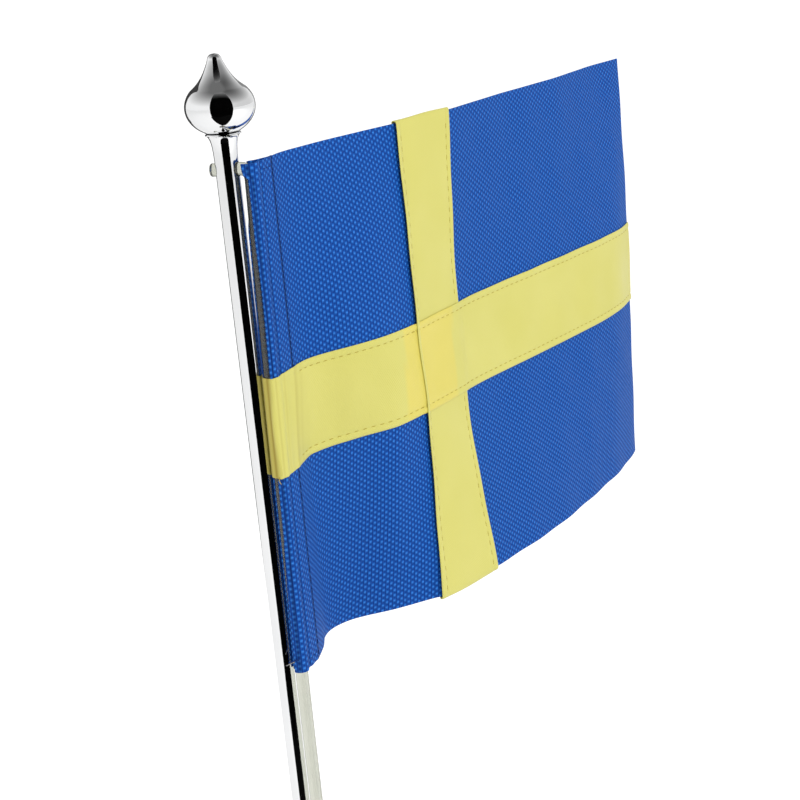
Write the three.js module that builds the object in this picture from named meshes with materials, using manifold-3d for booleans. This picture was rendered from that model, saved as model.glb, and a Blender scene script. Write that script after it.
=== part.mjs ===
// Desk flag stand: a weighted round foot, a thin chromed pole with an onion-shaped finial, a clear
// plastic rod hooked into the pole at both ends, and a small cloth flag whose sleeve hangs on the rod.
// The sleeve is slit beside the pole above its ribbon, so that the rod's bent end can leave it.
// Millimetres, +Z up. The origin is the middle of the foot's underside.

import * as THREE from 'three';
import { mergeVertices } from 'three/addons/utils/BufferGeometryUtils.js';
import Module from 'manifold-3d';

// Driving sizes
const standHeight = 400;        // underside of the foot to the tip of the finial
const poleDiameter = 5.3;
const rimDiameter = 7.7;        // the pole's flared top end
const flareHeight = 6.3;
const finialHeight = 17.3;
const finialDiameter = 15.7;
const footDiameter = 80;
const hubHeight = 22;           // underside of the foot to the top of its hub
const hubDiameter = 10;
const coverWall = 1.2;
const padThickness = 1.5;
const padInset = 1.5;           // from the cover's outside to the pad's edge
const weightTop = 10.5;
const webThickness = 3;         // the weight's floor between pole and washer
const rodDiameter = 3;
const rodSpan = 300;            // between the two cross holes
const rodBow = 3;               // how far the flag's pull bends the rod's middle
const rodBendRadius = 2.6;
const rodTipReach = 3.9;        // pole axis to the tip that shows on the pole's far side
const flagHoist = 120;          // height of the flag
const flagFly = 192;            // length of the flag from the sleeve's fold
const sleeveWidth = 10.4;       // from the fold to the seam
const clothThickness = 0.4;
const ribbonThickness = 0.2;
const ribbonWidth = 23.5;
const ribbonAlong = 60;         // from the fold to the upright ribbon
const ribbonDown = 48.5;        // from the top edge to the level ribbon
const flagDrop = 6.9;           // from the pole's top to the flag's top edge
const flagHeading = 57;         // degrees from +X to the flag's length
const slitAboveRibbon = 0.5;    // from the level ribbon to the foot of the sleeve's slit
const screwDiameter = 3;
const screwLength = 14;
const screwHeadDiameter = 5.6;
const screwHeadHeight = 2;
const washerDiameter = 7;
const washerThickness = 0.5;
const studLength = 10;
const studInPole = 4.6;
const rimHeight = 3;            // the foot cover's straight rim, from the underside
const hubCrown = 0.5;           // the hub's rounded top
const rimEdge = 0.3;            // the flared rim's own rounding
const poleEdge = 0.4;           // rounding of the pole's foot
const screwEdge = 0.6;          // rounding of the screw's head
const tipEdge = 0.5;            // chamfer of the screw's tip
const slotWidth = 0.9;
const slotDepth = 0.8;
const rodBelowEdge = 1.2;       // from the flag's top edge down to the rod's bent end

// Clearances
const seatGap = 0.1;            // between faces that rest on each other
const poleGap = 0.15;           // pole in the hub and in the weight
const threadGap = 0.1;          // thread in its tapped hole
const holeGap = 0.3;            // screw in its plain hole, head in its counterbore
const nestGap = 0.4;            // weight and pad inside the cover
const rodGap = 0.2;             // rod in its cross holes
const sleeveGap = 0.12;         // rod inside the sleeve, and sleeve beside the pole
const layerGap = 0.1;           // between a ribbon and what it wraps
const hingeGap = 0.3;           // each side of the seam that the flag swings on
const cutMargin = 1;            // how far a cutter runs past what it cuts

// Facets
const turnedSides = 32;
const rodArcSegments = 5;
const rodTipSteps = 2;
const rodBendSteps = 5;
const rodLegSteps = 30;
const smallHoleSides = 16;
const columnStep = 5;
const rowStep = 12;

const wasm = await Module();
wasm.setup();

const chrome = { color: 0xd8dadc, roughness: 0.06, metalness: 1 };
const steel = { color: 0xa8abad, roughness: 0.35, metalness: 1 };
const iron = { color: 0x4a4b4d, roughness: 0.7, metalness: 0.6 };
const felt = { color: 0x20241f, roughness: 0.95, metalness: 0 };
const clearPlastic = { color: 0xdfe2d0, roughness: 0.25, metalness: 0 };
const blueCloth = { color: 0x2b5ba8, roughness: 0.85, metalness: 0 };
const yellowSatin = { color: 0xe0d45c, roughness: 0.5, metalness: 0 };

function named(name, geometry, look) {
  const mesh = new THREE.Mesh(geometry, new THREE.MeshStandardMaterial(look));
  mesh.name = name;
  return mesh;
}

// Booleans

function welded(geometry) {
  const bare = geometry.clone();
  bare.deleteAttribute('normal');
  bare.deleteAttribute('uv');
  return mergeVertices(bare, 1e-4);
}

function solidOf(geometry) {
  const merged = welded(geometry);
  const vertProperties = new Float32Array(merged.attributes.position.array);
  const triVerts = new Uint32Array(merged.index.array);
  return new wasm.Manifold(new wasm.Mesh({ numProp: 3, vertProperties, triVerts }));
}

function geometryOf(solid) {
  const mesh = solid.getMesh();
  const geometry = new THREE.BufferGeometry();
  geometry.setAttribute('position', new THREE.BufferAttribute(mesh.vertProperties, 3));
  geometry.setIndex(new THREE.BufferAttribute(mesh.triVerts, 1));
  geometry.computeVertexNormals();
  return geometry;
}

function cut(body, ...cutters) {
  let solid = solidOf(body);
  for (const cutter of cutters) {
    solid = solid.subtract(solidOf(cutter));
  }
  return geometryOf(solid);
}

// Turned shapes

const at = (radius, height) => new THREE.Vector2(radius, height);

function turned(profile, sides = turnedSides) {
  return new THREE.LatheGeometry(profile, sides).rotateX(Math.PI / 2);
}

function rod(diameter, low, high, sides = turnedSides) {
  const geometry = new THREE.CylinderGeometry(diameter / 2, diameter / 2, high - low, sides);
  return geometry.rotateX(Math.PI / 2).translate(0, 0, (low + high) / 2);
}

// Levels up the stand

const poleTop = standHeight - finialHeight;
const flagTop = poleTop - flagDrop;
const weightBottom = padThickness + seatGap;
const headBottom = weightBottom + holeGap;
const washerBottom = headBottom + screwHeadHeight + seatGap;
const counterboreTop = washerBottom + washerThickness + seatGap;
const poleBottom = counterboreTop + webThickness + seatGap;

// Foot

const footRadius = footDiameter / 2;
const rimBottom = padThickness / 2;
const coverSteps = 11;

// The cover's outside, from the top of its rim over the shoulder and up the flare to the hub.
const coverLine = new THREE.SplineCurve([
  at(footRadius, rimHeight),
  at(footRadius * 0.98, rimHeight + 2.2),
  at(footRadius * 0.91, rimHeight + 3.9),
  at(footRadius * 0.7, rimHeight + 5.4),
  at(footRadius * 0.45, rimHeight + 6.8),
  at(footRadius * 0.26, rimHeight + 8.9),
  at(hubDiameter * 0.62, rimHeight + 13),
  at(hubDiameter / 2, hubHeight),
]);

function insideCover(depth) {
  const points = [];
  for (let step = 0; step <= coverSteps; step += 1) {
    const share = step / coverSteps;
    const point = coverLine.getPointAt(share);
    const tangent = coverLine.getTangentAt(share);
    points.push(at(point.x - tangent.y * depth, point.y + tangent.x * depth));
  }
  return points;
}

function makeCover() {
  const boreRadius = poleDiameter / 2 + poleGap;
  const outside = insideCover(0);
  const inside = insideCover(coverWall).filter((point) => point.x > boreRadius + coverWall);
  const innerTop = inside[inside.length - 1];
  const profile = [
    at(footRadius - coverWall, rimBottom),
    at(footRadius, rimBottom),
    ...outside,
    at(hubDiameter / 2 - hubCrown, hubHeight + hubCrown),
    at(boreRadius, hubHeight + hubCrown),
    at(boreRadius, innerTop.y),
    ...inside.reverse(),
    at(footRadius - coverWall, rimBottom),
  ];
  return named('base_cover', turned(profile), chrome);
}

function makeWeight() {
  const upper = insideCover(coverWall + nestGap).filter((point) => point.y < weightTop);
  const last = upper[upper.length - 1];
  const profile = [
    at(0, weightBottom),
    at(footRadius - coverWall - nestGap, weightBottom),
    ...upper,
    at(last.x - (weightTop - last.y), weightTop),
    at(0, weightTop),
  ];
  const poleSeat = rod(poleDiameter + 2 * poleGap, poleBottom - seatGap, weightTop + cutMargin);
  const screwHole = rod(screwDiameter + holeGap, weightBottom - cutMargin, poleBottom, smallHoleSides);
  const counterbore = rod(washerDiameter + 2 * holeGap, weightBottom - cutMargin, counterboreTop);
  return named('base_weight', cut(turned(profile), poleSeat, screwHole, counterbore), iron);
}

function makePad() {
  return named('base_pad', rod(footDiameter - 2 * (coverWall + padInset), 0, padThickness), felt);
}

function makeScrew() {
  const shank = screwDiameter / 2;
  const head = screwHeadDiameter / 2;
  const headTop = headBottom + screwHeadHeight;
  const tip = headTop + screwLength;
  const profile = [
    at(0, headBottom),
    at(head - screwEdge, headBottom),
    at(head, headBottom + screwEdge),
    at(head, headTop),
    at(shank, headTop),
    at(shank, tip - tipEdge),
    at(shank - tipEdge, tip),
    at(0, tip),
  ];
  const slot = new THREE.BoxGeometry(screwHeadDiameter + cutMargin, slotWidth, 2 * slotDepth);
  slot.translate(0, 0, headBottom);
  return named('base_screw', cut(turned(profile, smallHoleSides), slot), steel);
}

function makeWasher() {
  const disc = rod(washerDiameter, washerBottom, washerBottom + washerThickness);
  const hole = rod(screwDiameter + holeGap, washerBottom - cutMargin, counterboreTop + cutMargin, smallHoleSides);
  return named('base_washer', cut(disc, hole), steel);
}

// Rod: two bent ends that pass through the pole, and a long leg that the flag hangs on. In the flag's
// own frame X runs along the flag, Y is to its left and the pole's axis is at 0, 0.

const clothBesidePole = ribbonThickness + layerGap + clothThickness;
const rodOffset = poleDiameter / 2 + sleeveGap + clothBesidePole + sleeveGap + rodDiameter / 2;
const rodTop = flagTop - rodBelowEdge;
const rodFoot = rodTop - rodSpan;
const legEnd = new THREE.Vector3(rodBow / 2, -rodOffset, 0);
const legOut = legEnd.clone().normalize();

function rodPoint(reach, height) {
  return new THREE.Vector3(legOut.x * reach, legOut.y * reach, height);
}

// Joined curves that each get a set number of steps, however long they are.
class SteppedPath extends THREE.Curve {
  constructor(stretches) {
    super();
    this.stretches = stretches;
    this.steps = stretches.reduce((sum, stretch) => sum + stretch.steps, 0);
  }

  getUtoTmapping(share) {
    return share;
  }

  getPoint(share) {
    let place = share * this.steps;
    for (const { curve, steps } of this.stretches) {
      if (place <= steps) {
        return curve.getPoint(place / steps);
      }
      place -= steps;
    }
    return this.stretches[this.stretches.length - 1].curve.getPoint(1);
  }
}

function rodLine() {
  const reach = legEnd.length();
  const top = rodPoint(reach, rodTop - rodBendRadius);
  const foot = rodPoint(reach, rodFoot + rodBendRadius);
  const middle = new THREE.Vector3(legEnd.x - 2 * rodBow, legEnd.y, (top.z + foot.z) / 2);
  const topTip = rodPoint(-rodTipReach, rodTop);
  const footTip = rodPoint(-rodTipReach, rodFoot);
  const topTurn = rodPoint(reach - rodBendRadius, rodTop);
  const footTurn = rodPoint(reach - rodBendRadius, rodFoot);
  const topCorner = rodPoint(reach, rodTop);
  const footCorner = rodPoint(reach, rodFoot);
  return new SteppedPath([
    { curve: new THREE.LineCurve3(topTip, topTurn), steps: rodTipSteps },
    { curve: new THREE.QuadraticBezierCurve3(topTurn, topCorner, top), steps: rodBendSteps },
    { curve: new THREE.QuadraticBezierCurve3(top, middle, foot), steps: rodLegSteps },
    { curve: new THREE.QuadraticBezierCurve3(foot, footCorner, footTurn), steps: rodBendSteps },
    { curve: new THREE.LineCurve3(footTurn, footTip), steps: rodTipSteps },
  ]);
}

function makeRod() {
  const path = rodLine();
  const section = new THREE.Shape();
  section.absarc(0, 0, rodDiameter / 2, 0, 2 * Math.PI);
  const settings = { steps: path.steps, curveSegments: rodArcSegments, extrudePath: path };
  return named('flag_rod', new THREE.ExtrudeGeometry(section, settings), clearPlastic);
}

// Pole and finial

function flarePoints() {
  const low = poleTop - flareHeight;
  const flare = new THREE.SplineCurve([
    at(poleDiameter / 2, low),
    at(poleDiameter / 2 + (rimDiameter - poleDiameter) * 0.08, low + flareHeight * 0.45),
    at(poleDiameter / 2 + (rimDiameter - poleDiameter) * 0.22, low + flareHeight * 0.7),
    at(rimDiameter / 2, poleTop - rimEdge),
  ]);
  return flare.getSpacedPoints(8);
}

function makePole() {
  const profile = [
    at(0, poleBottom),
    at(poleDiameter / 2 - poleEdge, poleBottom),
    at(poleDiameter / 2, poleBottom + poleEdge),
    ...flarePoints(),
    at(rimDiameter / 2 - rimEdge, poleTop),
    at(0, poleTop),
  ];
  const headTop = headBottom + screwHeadHeight;
  const screwTap = rod(screwDiameter + 2 * threadGap, poleBottom - cutMargin, headTop + screwLength + 1, smallHoleSides);
  const studTap = rod(screwDiameter + 2 * threadGap, poleTop - studInPole - 0.2, poleTop + cutMargin, smallHoleSides);
  const crossAngle = Math.atan2(legOut.y, legOut.x) + THREE.MathUtils.degToRad(flagHeading);
  const crossHoles = [rodTop, rodFoot].map((height) => {
    const hole = new THREE.CylinderGeometry(
      rodDiameter / 2 + rodGap,
      rodDiameter / 2 + rodGap,
      poleDiameter + 2 * cutMargin,
      smallHoleSides,
    );
    return hole.rotateZ(Math.PI / 2).rotateZ(crossAngle).translate(0, 0, height);
  });
  return named('pole', cut(turned(profile), screwTap, studTap, ...crossHoles), chrome);
}

function finialProfile() {
  const radius = finialDiameter / 2;
  const bottom = poleTop + seatGap;
  const ballHalf = finialHeight * 0.37;
  const ballMiddle = bottom + finialHeight * 0.33;
  const points = [at(0, bottom), at(rimDiameter / 2 - 0.5, bottom)];
  const startAngle = Math.asin((bottom - ballMiddle + 0.5) / ballHalf);
  const endAngle = THREE.MathUtils.degToRad(40);
  const ballSteps = 10;
  for (let step = 0; step <= ballSteps; step += 1) {
    const angle = THREE.MathUtils.lerp(startAngle, endAngle, step / ballSteps);
    points.push(at(radius * Math.cos(angle), ballMiddle + ballHalf * Math.sin(angle)));
  }
  const shoulder = points[points.length - 1];
  const spire = new THREE.SplineCurve([
    shoulder,
    at(radius * 0.52, bottom + finialHeight * 0.635),
    at(radius * 0.35, bottom + finialHeight * 0.73),
    at(radius * 0.225, bottom + finialHeight * 0.85),
    at(radius * 0.165, standHeight - 1.1),
    at(radius * 0.09, standHeight - 0.3),
    at(0, standHeight),
  ]);
  return [...points, ...spire.getSpacedPoints(10).slice(1)];
}

function makeFinial() {
  const tap = rod(screwDiameter + 2 * threadGap, poleTop - cutMargin, poleTop + studLength - studInPole + 0.4, smallHoleSides);
  return named('finial', cut(turned(finialProfile()), tap), chrome);
}

function makeStud() {
  const low = poleTop - studInPole;
  return named('finial_stud', rod(screwDiameter, low, low + studLength, smallHoleSides), steel);
}

// Flag: lengths run from the fold of the sleeve, heights from the flag's bottom edge.

const flagBottom = flagTop - flagHoist;
const sleeveBore = rodBow + rodDiameter + 2 * sleeveGap;
const foldAt = -sleeveBore / 2 - clothThickness;
const seamAt = foldAt + sleeveWidth;
const panelLength = flagFly - sleeveWidth;
const boreHalf = rodDiameter / 2 + sleeveGap;
const boreEnd = rodBow / 2 + boreHalf;

// Plan of the flag's two long edges, seen from above, as shares of the panel's length from the seam.
const topEdge = edgeCurve([
  [0, 0],
  [0.05, 0.007],
  [0.19, -0.009],
  [0.28, -0.026],
  [0.4, -0.038],
  [0.55, -0.035],
  [0.72, -0.042],
  [0.86, -0.03],
  [0.975, -0.03],
]);
const bottomEdge = edgeCurve([
  [0, 0],
  [0.035, 0.012],
  [0.085, 0.034],
  [0.125, 0.026],
  [0.175, -0.014],
  [0.24, -0.054],
  [0.36, -0.075],
  [0.54, -0.084],
  [0.76, -0.073],
  [0.955, -0.035],
]);

function edgeCurve(shares) {
  return new THREE.CatmullRomCurve3(
    shares.map(([along, left]) => new THREE.Vector3(along * panelLength, left * panelLength, 0)),
  );
}

const columnCount = Math.ceil(panelLength / columnStep);
const columns = [];
for (let index = 0; index <= columnCount; index += 1) {
  const share = index / columnCount;
  columns.push({ top: topEdge.getPointAt(share), bottom: bottomEdge.getPointAt(share) });
}

// A point of the flag's middle surface, straight between neighbouring columns and carried straight on
// past the fly edge, with the way its face looks.
function panelPoint(along, up, offset) {
  const place = (along / panelLength) * columnCount;
  const index = THREE.MathUtils.clamp(Math.floor(place), 0, columnCount - 1);
  const share = place - index;
  const rise = up / flagHoist;
  const start = edgePoint(index, rise, offset);
  const end = edgePoint(index + 1, rise, offset);
  return start.lerp(end, share).setZ(flagBottom + up);
}

function edgePoint(index, rise, offset) {
  const column = columns[index];
  const before = columns[Math.max(index - 1, 0)];
  const after = columns[Math.min(index + 1, columnCount)];
  const middle = column.bottom.clone().lerp(column.top, rise);
  const ahead = after.bottom.clone().lerp(after.top, rise);
  const behind = before.bottom.clone().lerp(before.top, rise);
  const left = ahead.sub(behind).setZ(0).normalize();
  left.set(-left.y, left.x, 0);
  return middle.addScaledVector(left, offset);
}

function spots(from, to, step) {
  const first = Math.floor(from / step) + 1;
  const inner = [];
  for (let index = first; index * step < to - 0.01; index += 1) {
    if (index * step > from + 0.01) {
      inner.push(index * step);
    }
  }
  return [from, ...inner, to];
}

// A closed slab that follows the flag's middle surface, half as thick on each side of it.
function slab(alongFrom, alongTo, upFrom, upTo, half) {
  const alongs = spots(alongFrom, alongTo, panelLength / columnCount);
  const ups = spots(upFrom, upTo, rowStep);
  const across = alongs.length - 1;
  const rows = ups.length - 1;
  const geometry = new THREE.BoxGeometry(across, 2, rows, across, 1, rows);
  const position = geometry.attributes.position;
  for (let index = 0; index < position.count; index += 1) {
    const along = alongs[Math.round(position.getX(index) + across / 2)];
    const up = ups[Math.round(position.getZ(index) + rows / 2)];
    const point = panelPoint(along, up, position.getY(index) * half);
    position.setXYZ(index, point.x + seamAt, point.y - rodOffset, point.z);
  }
  return welded(geometry);
}

const uprightFrom = ribbonAlong - sleeveWidth;
const uprightTo = uprightFrom + ribbonWidth;
const levelTo = flagHoist - ribbonDown;
const levelFrom = levelTo - ribbonWidth;
const uprightInner = clothThickness / 2 + layerGap;
const uprightOuter = uprightInner + ribbonThickness;
const levelInner = uprightOuter + layerGap;
const levelOuter = levelInner + ribbonThickness;

function makePanel() {
  return named('flag_panel', slab(hingeGap, panelLength, 0, flagHoist, clothThickness / 2), blueCloth);
}

function makeUprightRibbon() {
  const outer = slab(uprightFrom, uprightTo, -uprightOuter, flagHoist + uprightOuter, uprightOuter);
  const inner = slab(
    uprightFrom - cutMargin,
    uprightTo + cutMargin,
    -uprightInner,
    flagHoist + uprightInner,
    uprightInner,
  );
  return named('ribbon_upright', cut(outer, inner), yellowSatin);
}

function makeLevelRibbon() {
  const start = levelOuter + hingeGap;
  const outer = slab(start, panelLength + levelOuter, levelFrom, levelTo, levelOuter);
  const inner = slab(
    start - cutMargin,
    panelLength + levelInner,
    levelFrom - cutMargin,
    levelTo + cutMargin,
    levelInner,
  );
  return named('ribbon_level', cut(outer, inner), yellowSatin);
}

// The sleeve's outline: a round nose beside the pole, flat sides along the bore and a taper to the seam.
function sleeveOutline(half, nose, seam, seamHalf) {
  const outline = new THREE.Shape();
  outline.moveTo(seam, -seamHalf);
  outline.lineTo(seam, seamHalf);
  outline.lineTo(boreEnd, half);
  outline.lineTo(nose, half);
  outline.absarc(nose, 0, half, Math.PI / 2, (3 * Math.PI) / 2);
  outline.lineTo(boreEnd, -half);
  return outline;
}

function boreOutline(half) {
  const hole = new THREE.Path();
  hole.absarc(-rodBow / 2, 0, half, Math.PI / 2, (3 * Math.PI) / 2);
  hole.absarc(rodBow / 2, 0, half, -Math.PI / 2, Math.PI / 2);
  return hole;
}

function standing(outline, low, high) {
  const settings = { depth: high - low, bevelEnabled: false, curveSegments: 10 };
  return new THREE.ExtrudeGeometry(outline, settings).translate(0, -rodOffset, low);
}

// The slit takes away the side that faces the pole, from the fold to past the rod's bent end.
function sleeveSlit() {
  const from = foldAt - cutMargin;
  const to = boreEnd;
  const depth = boreHalf + clothThickness + cutMargin;
  const foot = flagBottom + levelTo + slitAboveRibbon;
  const height = flagTop + cutMargin - foot;
  const box = new THREE.BoxGeometry(to - from, depth, height);
  return box.translate((from + to) / 2, depth / 2 - rodOffset, foot + height / 2);
}

function makeSleeve() {
  const outline = sleeveOutline(boreHalf + clothThickness, -rodBow / 2, seamAt - hingeGap, clothThickness);
  outline.holes.push(boreOutline(boreHalf));
  return named('flag_sleeve', cut(standing(outline, flagBottom, flagTop), sleeveSlit()), blueCloth);
}

// The level ribbon's own loop round the sleeve, open towards the seam.
function makeSleeveRibbon() {
  const inner = boreHalf + clothThickness + layerGap;
  const outer = inner + ribbonThickness;
  const nose = -rodBow / 2;
  const end = seamAt - levelOuter - hingeGap;
  const loop = sleeveOutline(outer, nose, end, outer);
  const hollow = sleeveOutline(inner, nose, end + cutMargin, inner);
  const low = flagBottom + levelFrom;
  const high = flagBottom + levelTo;
  const body = standing(loop, low, high);
  const core = standing(hollow, low - cutMargin, high + cutMargin);
  return named('sleeve_ribbon', cut(body, core), yellowSatin);
}

// Assembly

const flag = new THREE.Group();
flag.rotation.z = THREE.MathUtils.degToRad(flagHeading);
flag.add(makeRod(), makeSleeve(), makeSleeveRibbon(), makePanel(), makeUprightRibbon(), makeLevelRibbon());

const stand = new THREE.Group();
stand.add(makePad(), makeWeight(), makeCover(), makeWasher(), makeScrew());
stand.add(makePole(), makeStud(), makeFinial());

const group = new THREE.Group();
group.add(stand, flag);

export default group;
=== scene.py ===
import bpy
import bmesh
import math
import numpy as np
from mathutils import Matrix, Vector


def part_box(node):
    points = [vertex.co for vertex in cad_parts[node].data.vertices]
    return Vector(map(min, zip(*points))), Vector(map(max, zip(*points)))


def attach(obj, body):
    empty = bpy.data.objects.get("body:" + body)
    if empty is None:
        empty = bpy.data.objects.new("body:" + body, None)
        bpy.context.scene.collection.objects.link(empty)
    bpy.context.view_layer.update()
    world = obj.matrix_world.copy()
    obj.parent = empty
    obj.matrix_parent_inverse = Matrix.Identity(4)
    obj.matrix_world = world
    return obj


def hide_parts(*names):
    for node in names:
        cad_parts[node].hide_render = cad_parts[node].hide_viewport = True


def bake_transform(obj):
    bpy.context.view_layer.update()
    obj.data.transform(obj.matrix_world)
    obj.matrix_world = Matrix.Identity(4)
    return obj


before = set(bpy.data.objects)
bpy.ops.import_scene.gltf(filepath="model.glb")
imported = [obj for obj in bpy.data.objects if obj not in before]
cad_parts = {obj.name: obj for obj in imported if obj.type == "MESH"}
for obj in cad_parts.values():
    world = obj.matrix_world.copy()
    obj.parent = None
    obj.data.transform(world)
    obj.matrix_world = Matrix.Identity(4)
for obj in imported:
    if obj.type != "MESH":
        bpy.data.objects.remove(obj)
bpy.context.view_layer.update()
mm = 0.001


def deselectAll():
    if bpy.context.mode != "OBJECT":
        bpy.ops.object.mode_set(mode="OBJECT")
    bpy.ops.object.select_all(action="DESELECT")


def makeActive(piece):
    deselectAll()
    piece.select_set(True)
    bpy.context.view_layer.objects.active = piece


def applyModifiers(piece):
    makeActive(piece)
    for modifier in list(piece.modifiers):
        bpy.ops.object.modifier_apply(modifier=modifier.name)


def smooth(piece, degrees=40):
    makeActive(piece)
    bpy.ops.object.shade_smooth_by_angle(angle=math.radians(degrees))


def linkObject(name, data):
    piece = bpy.data.objects.new(name, data)
    bpy.context.scene.collection.objects.link(piece)
    return piece


def meshPiece(name, vertices, faces):
    mesh = bpy.data.meshes.new(name)
    mesh.from_pydata(vertices, [], faces)
    return linkObject(name, mesh)


def outwardNormals():
    # from edit mode back to object mode
    bpy.ops.mesh.select_all(action="SELECT")
    bpy.ops.mesh.normals_make_consistent(inside=False)
    bpy.ops.object.mode_set(mode="OBJECT")


def finishPiece(piece, name, material, body):
    piece.name = name
    piece.data.name = name
    piece.data.materials.clear()
    piece.data.materials.append(material)
    if body:
        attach(piece, body)
    return piece


def dress(node, material):
    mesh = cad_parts[node].data
    mesh.materials.clear()
    mesh.materials.append(material)


def ease(value, low, high):
    t = min(1.0, max(0.0, (value - low) / (high - low)))
    return t * t * (3 - 2 * t)


# the camera stands a little above the flag's top edge
cameraSettings = {
    "place": (27.97, -414.21, 57.13),   # mm from the pole's axis and the flag's top edge
    "turn": 0.687,
    "tilt": 15.512,
    "roll": -5.64,
    "lens": 84.39,
    "sensor": 36,
}

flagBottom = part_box("flag_panel")[0].z
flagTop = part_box("flag_panel")[1].z


def makeCamera():
    data = bpy.data.cameras.new("camera")
    data.lens = cameraSettings["lens"]
    data.sensor_width = cameraSettings["sensor"]
    data.clip_start = 0.01
    camera = linkObject("camera", data)
    x, y, z = cameraSettings["place"]
    turn = Matrix.Rotation(-math.radians(cameraSettings["turn"]), 4, "Z")
    tilt = Matrix.Rotation(math.radians(90 - cameraSettings["tilt"]), 4, "X")
    roll = Matrix.Rotation(math.radians(cameraSettings["roll"]), 4, "Z")
    camera.matrix_world = Matrix.Translation((x * mm, y * mm, flagTop + z * mm)) @ turn @ tilt @ roll
    bpy.context.scene.camera = camera


makeCamera()
print("camera placed")


def newMaterial(name):
    material = bpy.data.materials.new(name)
    material.use_nodes = True
    tree = material.node_tree
    return material, tree, tree.nodes["Principled BSDF"]


def setSockets(tree, node, sockets):
    for key, value in sockets.items():
        if isinstance(value, bpy.types.NodeSocket):
            tree.links.new(value, node.inputs[key])
        else:
            node.inputs[key].default_value = value


def addNode(tree, kind, sockets=None, **values):
    node = tree.nodes.new(kind)
    for key, value in values.items():
        setattr(node, key, value)
    setSockets(tree, node, sockets or {})
    return node


def calc(tree, operation, a, b=0.0):
    return addNode(tree, "ShaderNodeMath", {0: a, 1: b}, operation=operation).outputs[0]


def mixColour(tree, factor, a, b):
    return addNode(tree, "ShaderNodeMix", {0: factor, 6: a, 7: b}, data_type="RGBA").outputs[2]


def rangeOf(tree, value, low, high, toLow=0.0, toHigh=1.0):
    sockets = {"Value": value, "From Min": low, "From Max": high, "To Min": toLow, "To Max": toHigh}
    return addNode(tree, "ShaderNodeMapRange", sockets).outputs["Result"]


def noiseOf(tree, place, scale, **sockets):
    return addNode(tree, "ShaderNodeTexNoise", {"Vector": place, "Scale": scale, **sockets}).outputs["Fac"]


def newGroup(name, inputs, outputs):
    group = bpy.data.node_groups.new(name, "ShaderNodeTree")
    for label, kind, value in inputs:
        socket = group.interface.new_socket(label, in_out="INPUT", socket_type=kind)
        if value is not None:
            socket.default_value = value
    for label in outputs:
        group.interface.new_socket(label, in_out="OUTPUT", socket_type="NodeSocketFloat")
    start = group.nodes.new("NodeGroupInput")
    end = group.nodes.new("NodeGroupOutput")
    return group, start.outputs, end


def placeGroup(tree, group, sockets):
    return addNode(tree, "ShaderNodeGroup", sockets, node_tree=group).outputs


def makeHandlingMarks():
    # faint wiping marks and dust, for every hard surface
    group, start, end = newGroup(
        "handlingMarks",
        [("Place", "NodeSocketVector", None), ("Scale", "NodeSocketFloat", 400.0),
         ("Smooth", "NodeSocketFloat", 0.03), ("Worn", "NodeSocketFloat", 0.1)],
        ("Roughness", "Height", "Dust"),
    )
    stretch = addNode(group, "ShaderNodeMapping", {"Vector": start["Place"], "Scale": (1, 1, 0.15)})
    wipe = noiseOf(group, stretch.outputs[0], start["Scale"], Detail=6.0, Roughness=0.6)
    spots = rangeOf(group, noiseOf(group, start["Place"], 60.0, Detail=3.0), 0.35, 0.75)
    amount = calc(group, "MULTIPLY", wipe, spots)
    span = calc(group, "SUBTRACT", start["Worn"], start["Smooth"])
    rough = calc(group, "ADD", start["Smooth"], calc(group, "MULTIPLY", amount, span))
    setSockets(group, end, {"Roughness": rough, "Height": wipe, "Dust": spots})
    return group


def makeYarnWeave():
    # plain weave: floats in a chequerboard, each a rounded bump, with small gaps between them; the blue cloth
    # paints the floats lighter as a painted highlight, and both cloths paint the gaps darker as painted shade
    group, start, end = newGroup(
        "yarnWeave",
        [("Place", "NodeSocketVector", None), ("Column", "NodeSocketFloat", 0.00102),
         ("Row", "NodeSocketFloat", 0.00069), ("Wander", "NodeSocketFloat", 0.00012)],
        ("Float", "GapShade", "Yarn"),
    )
    place = start["Place"]
    noise = addNode(group, "ShaderNodeTexNoise", {"Vector": place, "Scale": 260.0, "Detail": 2.0})
    centred = addNode(group, "ShaderNodeVectorMath", {0: noise.outputs["Color"], 1: (0.5, 0.5, 0.5)},
                      operation="SUBTRACT")
    shifted = addNode(group, "ShaderNodeVectorMath", {0: centred.outputs[0], "Scale": start["Wander"]},
                      operation="SCALE")
    moved = addNode(group, "ShaderNodeVectorMath", {0: place, 1: shifted.outputs[0]}, operation="ADD")
    parts = addNode(group, "ShaderNodeSeparateXYZ", {0: moved.outputs[0]}).outputs
    waves = []
    for part, pitch in ((parts[0], start["Column"]), (parts[1], start["Row"])):
        turned = calc(group, "MULTIPLY", calc(group, "DIVIDE", part, pitch), math.pi)
        waves.append(calc(group, "SINE", turned))
    product = calc(group, "MULTIPLY", *waves)
    raised = calc(group, "ADD", calc(group, "MULTIPLY", product, 0.5), 0.5)
    low = calc(group, "MULTIPLY", product, -1.0)
    between = rangeOf(group, calc(group, "ABSOLUTE", waves[0]), 0.12, 0.62, 1.0, 0.0)
    yarnGapShade = calc(group, "MAXIMUM", rangeOf(group, low, 0.25, 0.85, 0.0, 0.75), between)
    yarn = noiseOf(group, place, 900.0, Detail=3.0)
    setSockets(group, end, {"Float": raised, "GapShade": yarnGapShade, "Yarn": yarn})
    return group


handlingMarks = makeHandlingMarks()
yarnWeave = makeYarnWeave()


def objectPlace(tree):
    return addNode(tree, "ShaderNodeTexCoord").outputs["Object"]


def uvPlace(tree):
    return addNode(tree, "ShaderNodeUVMap", uv_map="cloth").outputs[0]


def attributeOf(tree, name):
    return addNode(tree, "ShaderNodeAttribute", attribute_name=name).outputs["Fac"]


def bumpFrom(tree, height, distance):
    return addNode(tree, "ShaderNodeBump", {"Height": height, "Distance": distance}).outputs[0]


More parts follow.
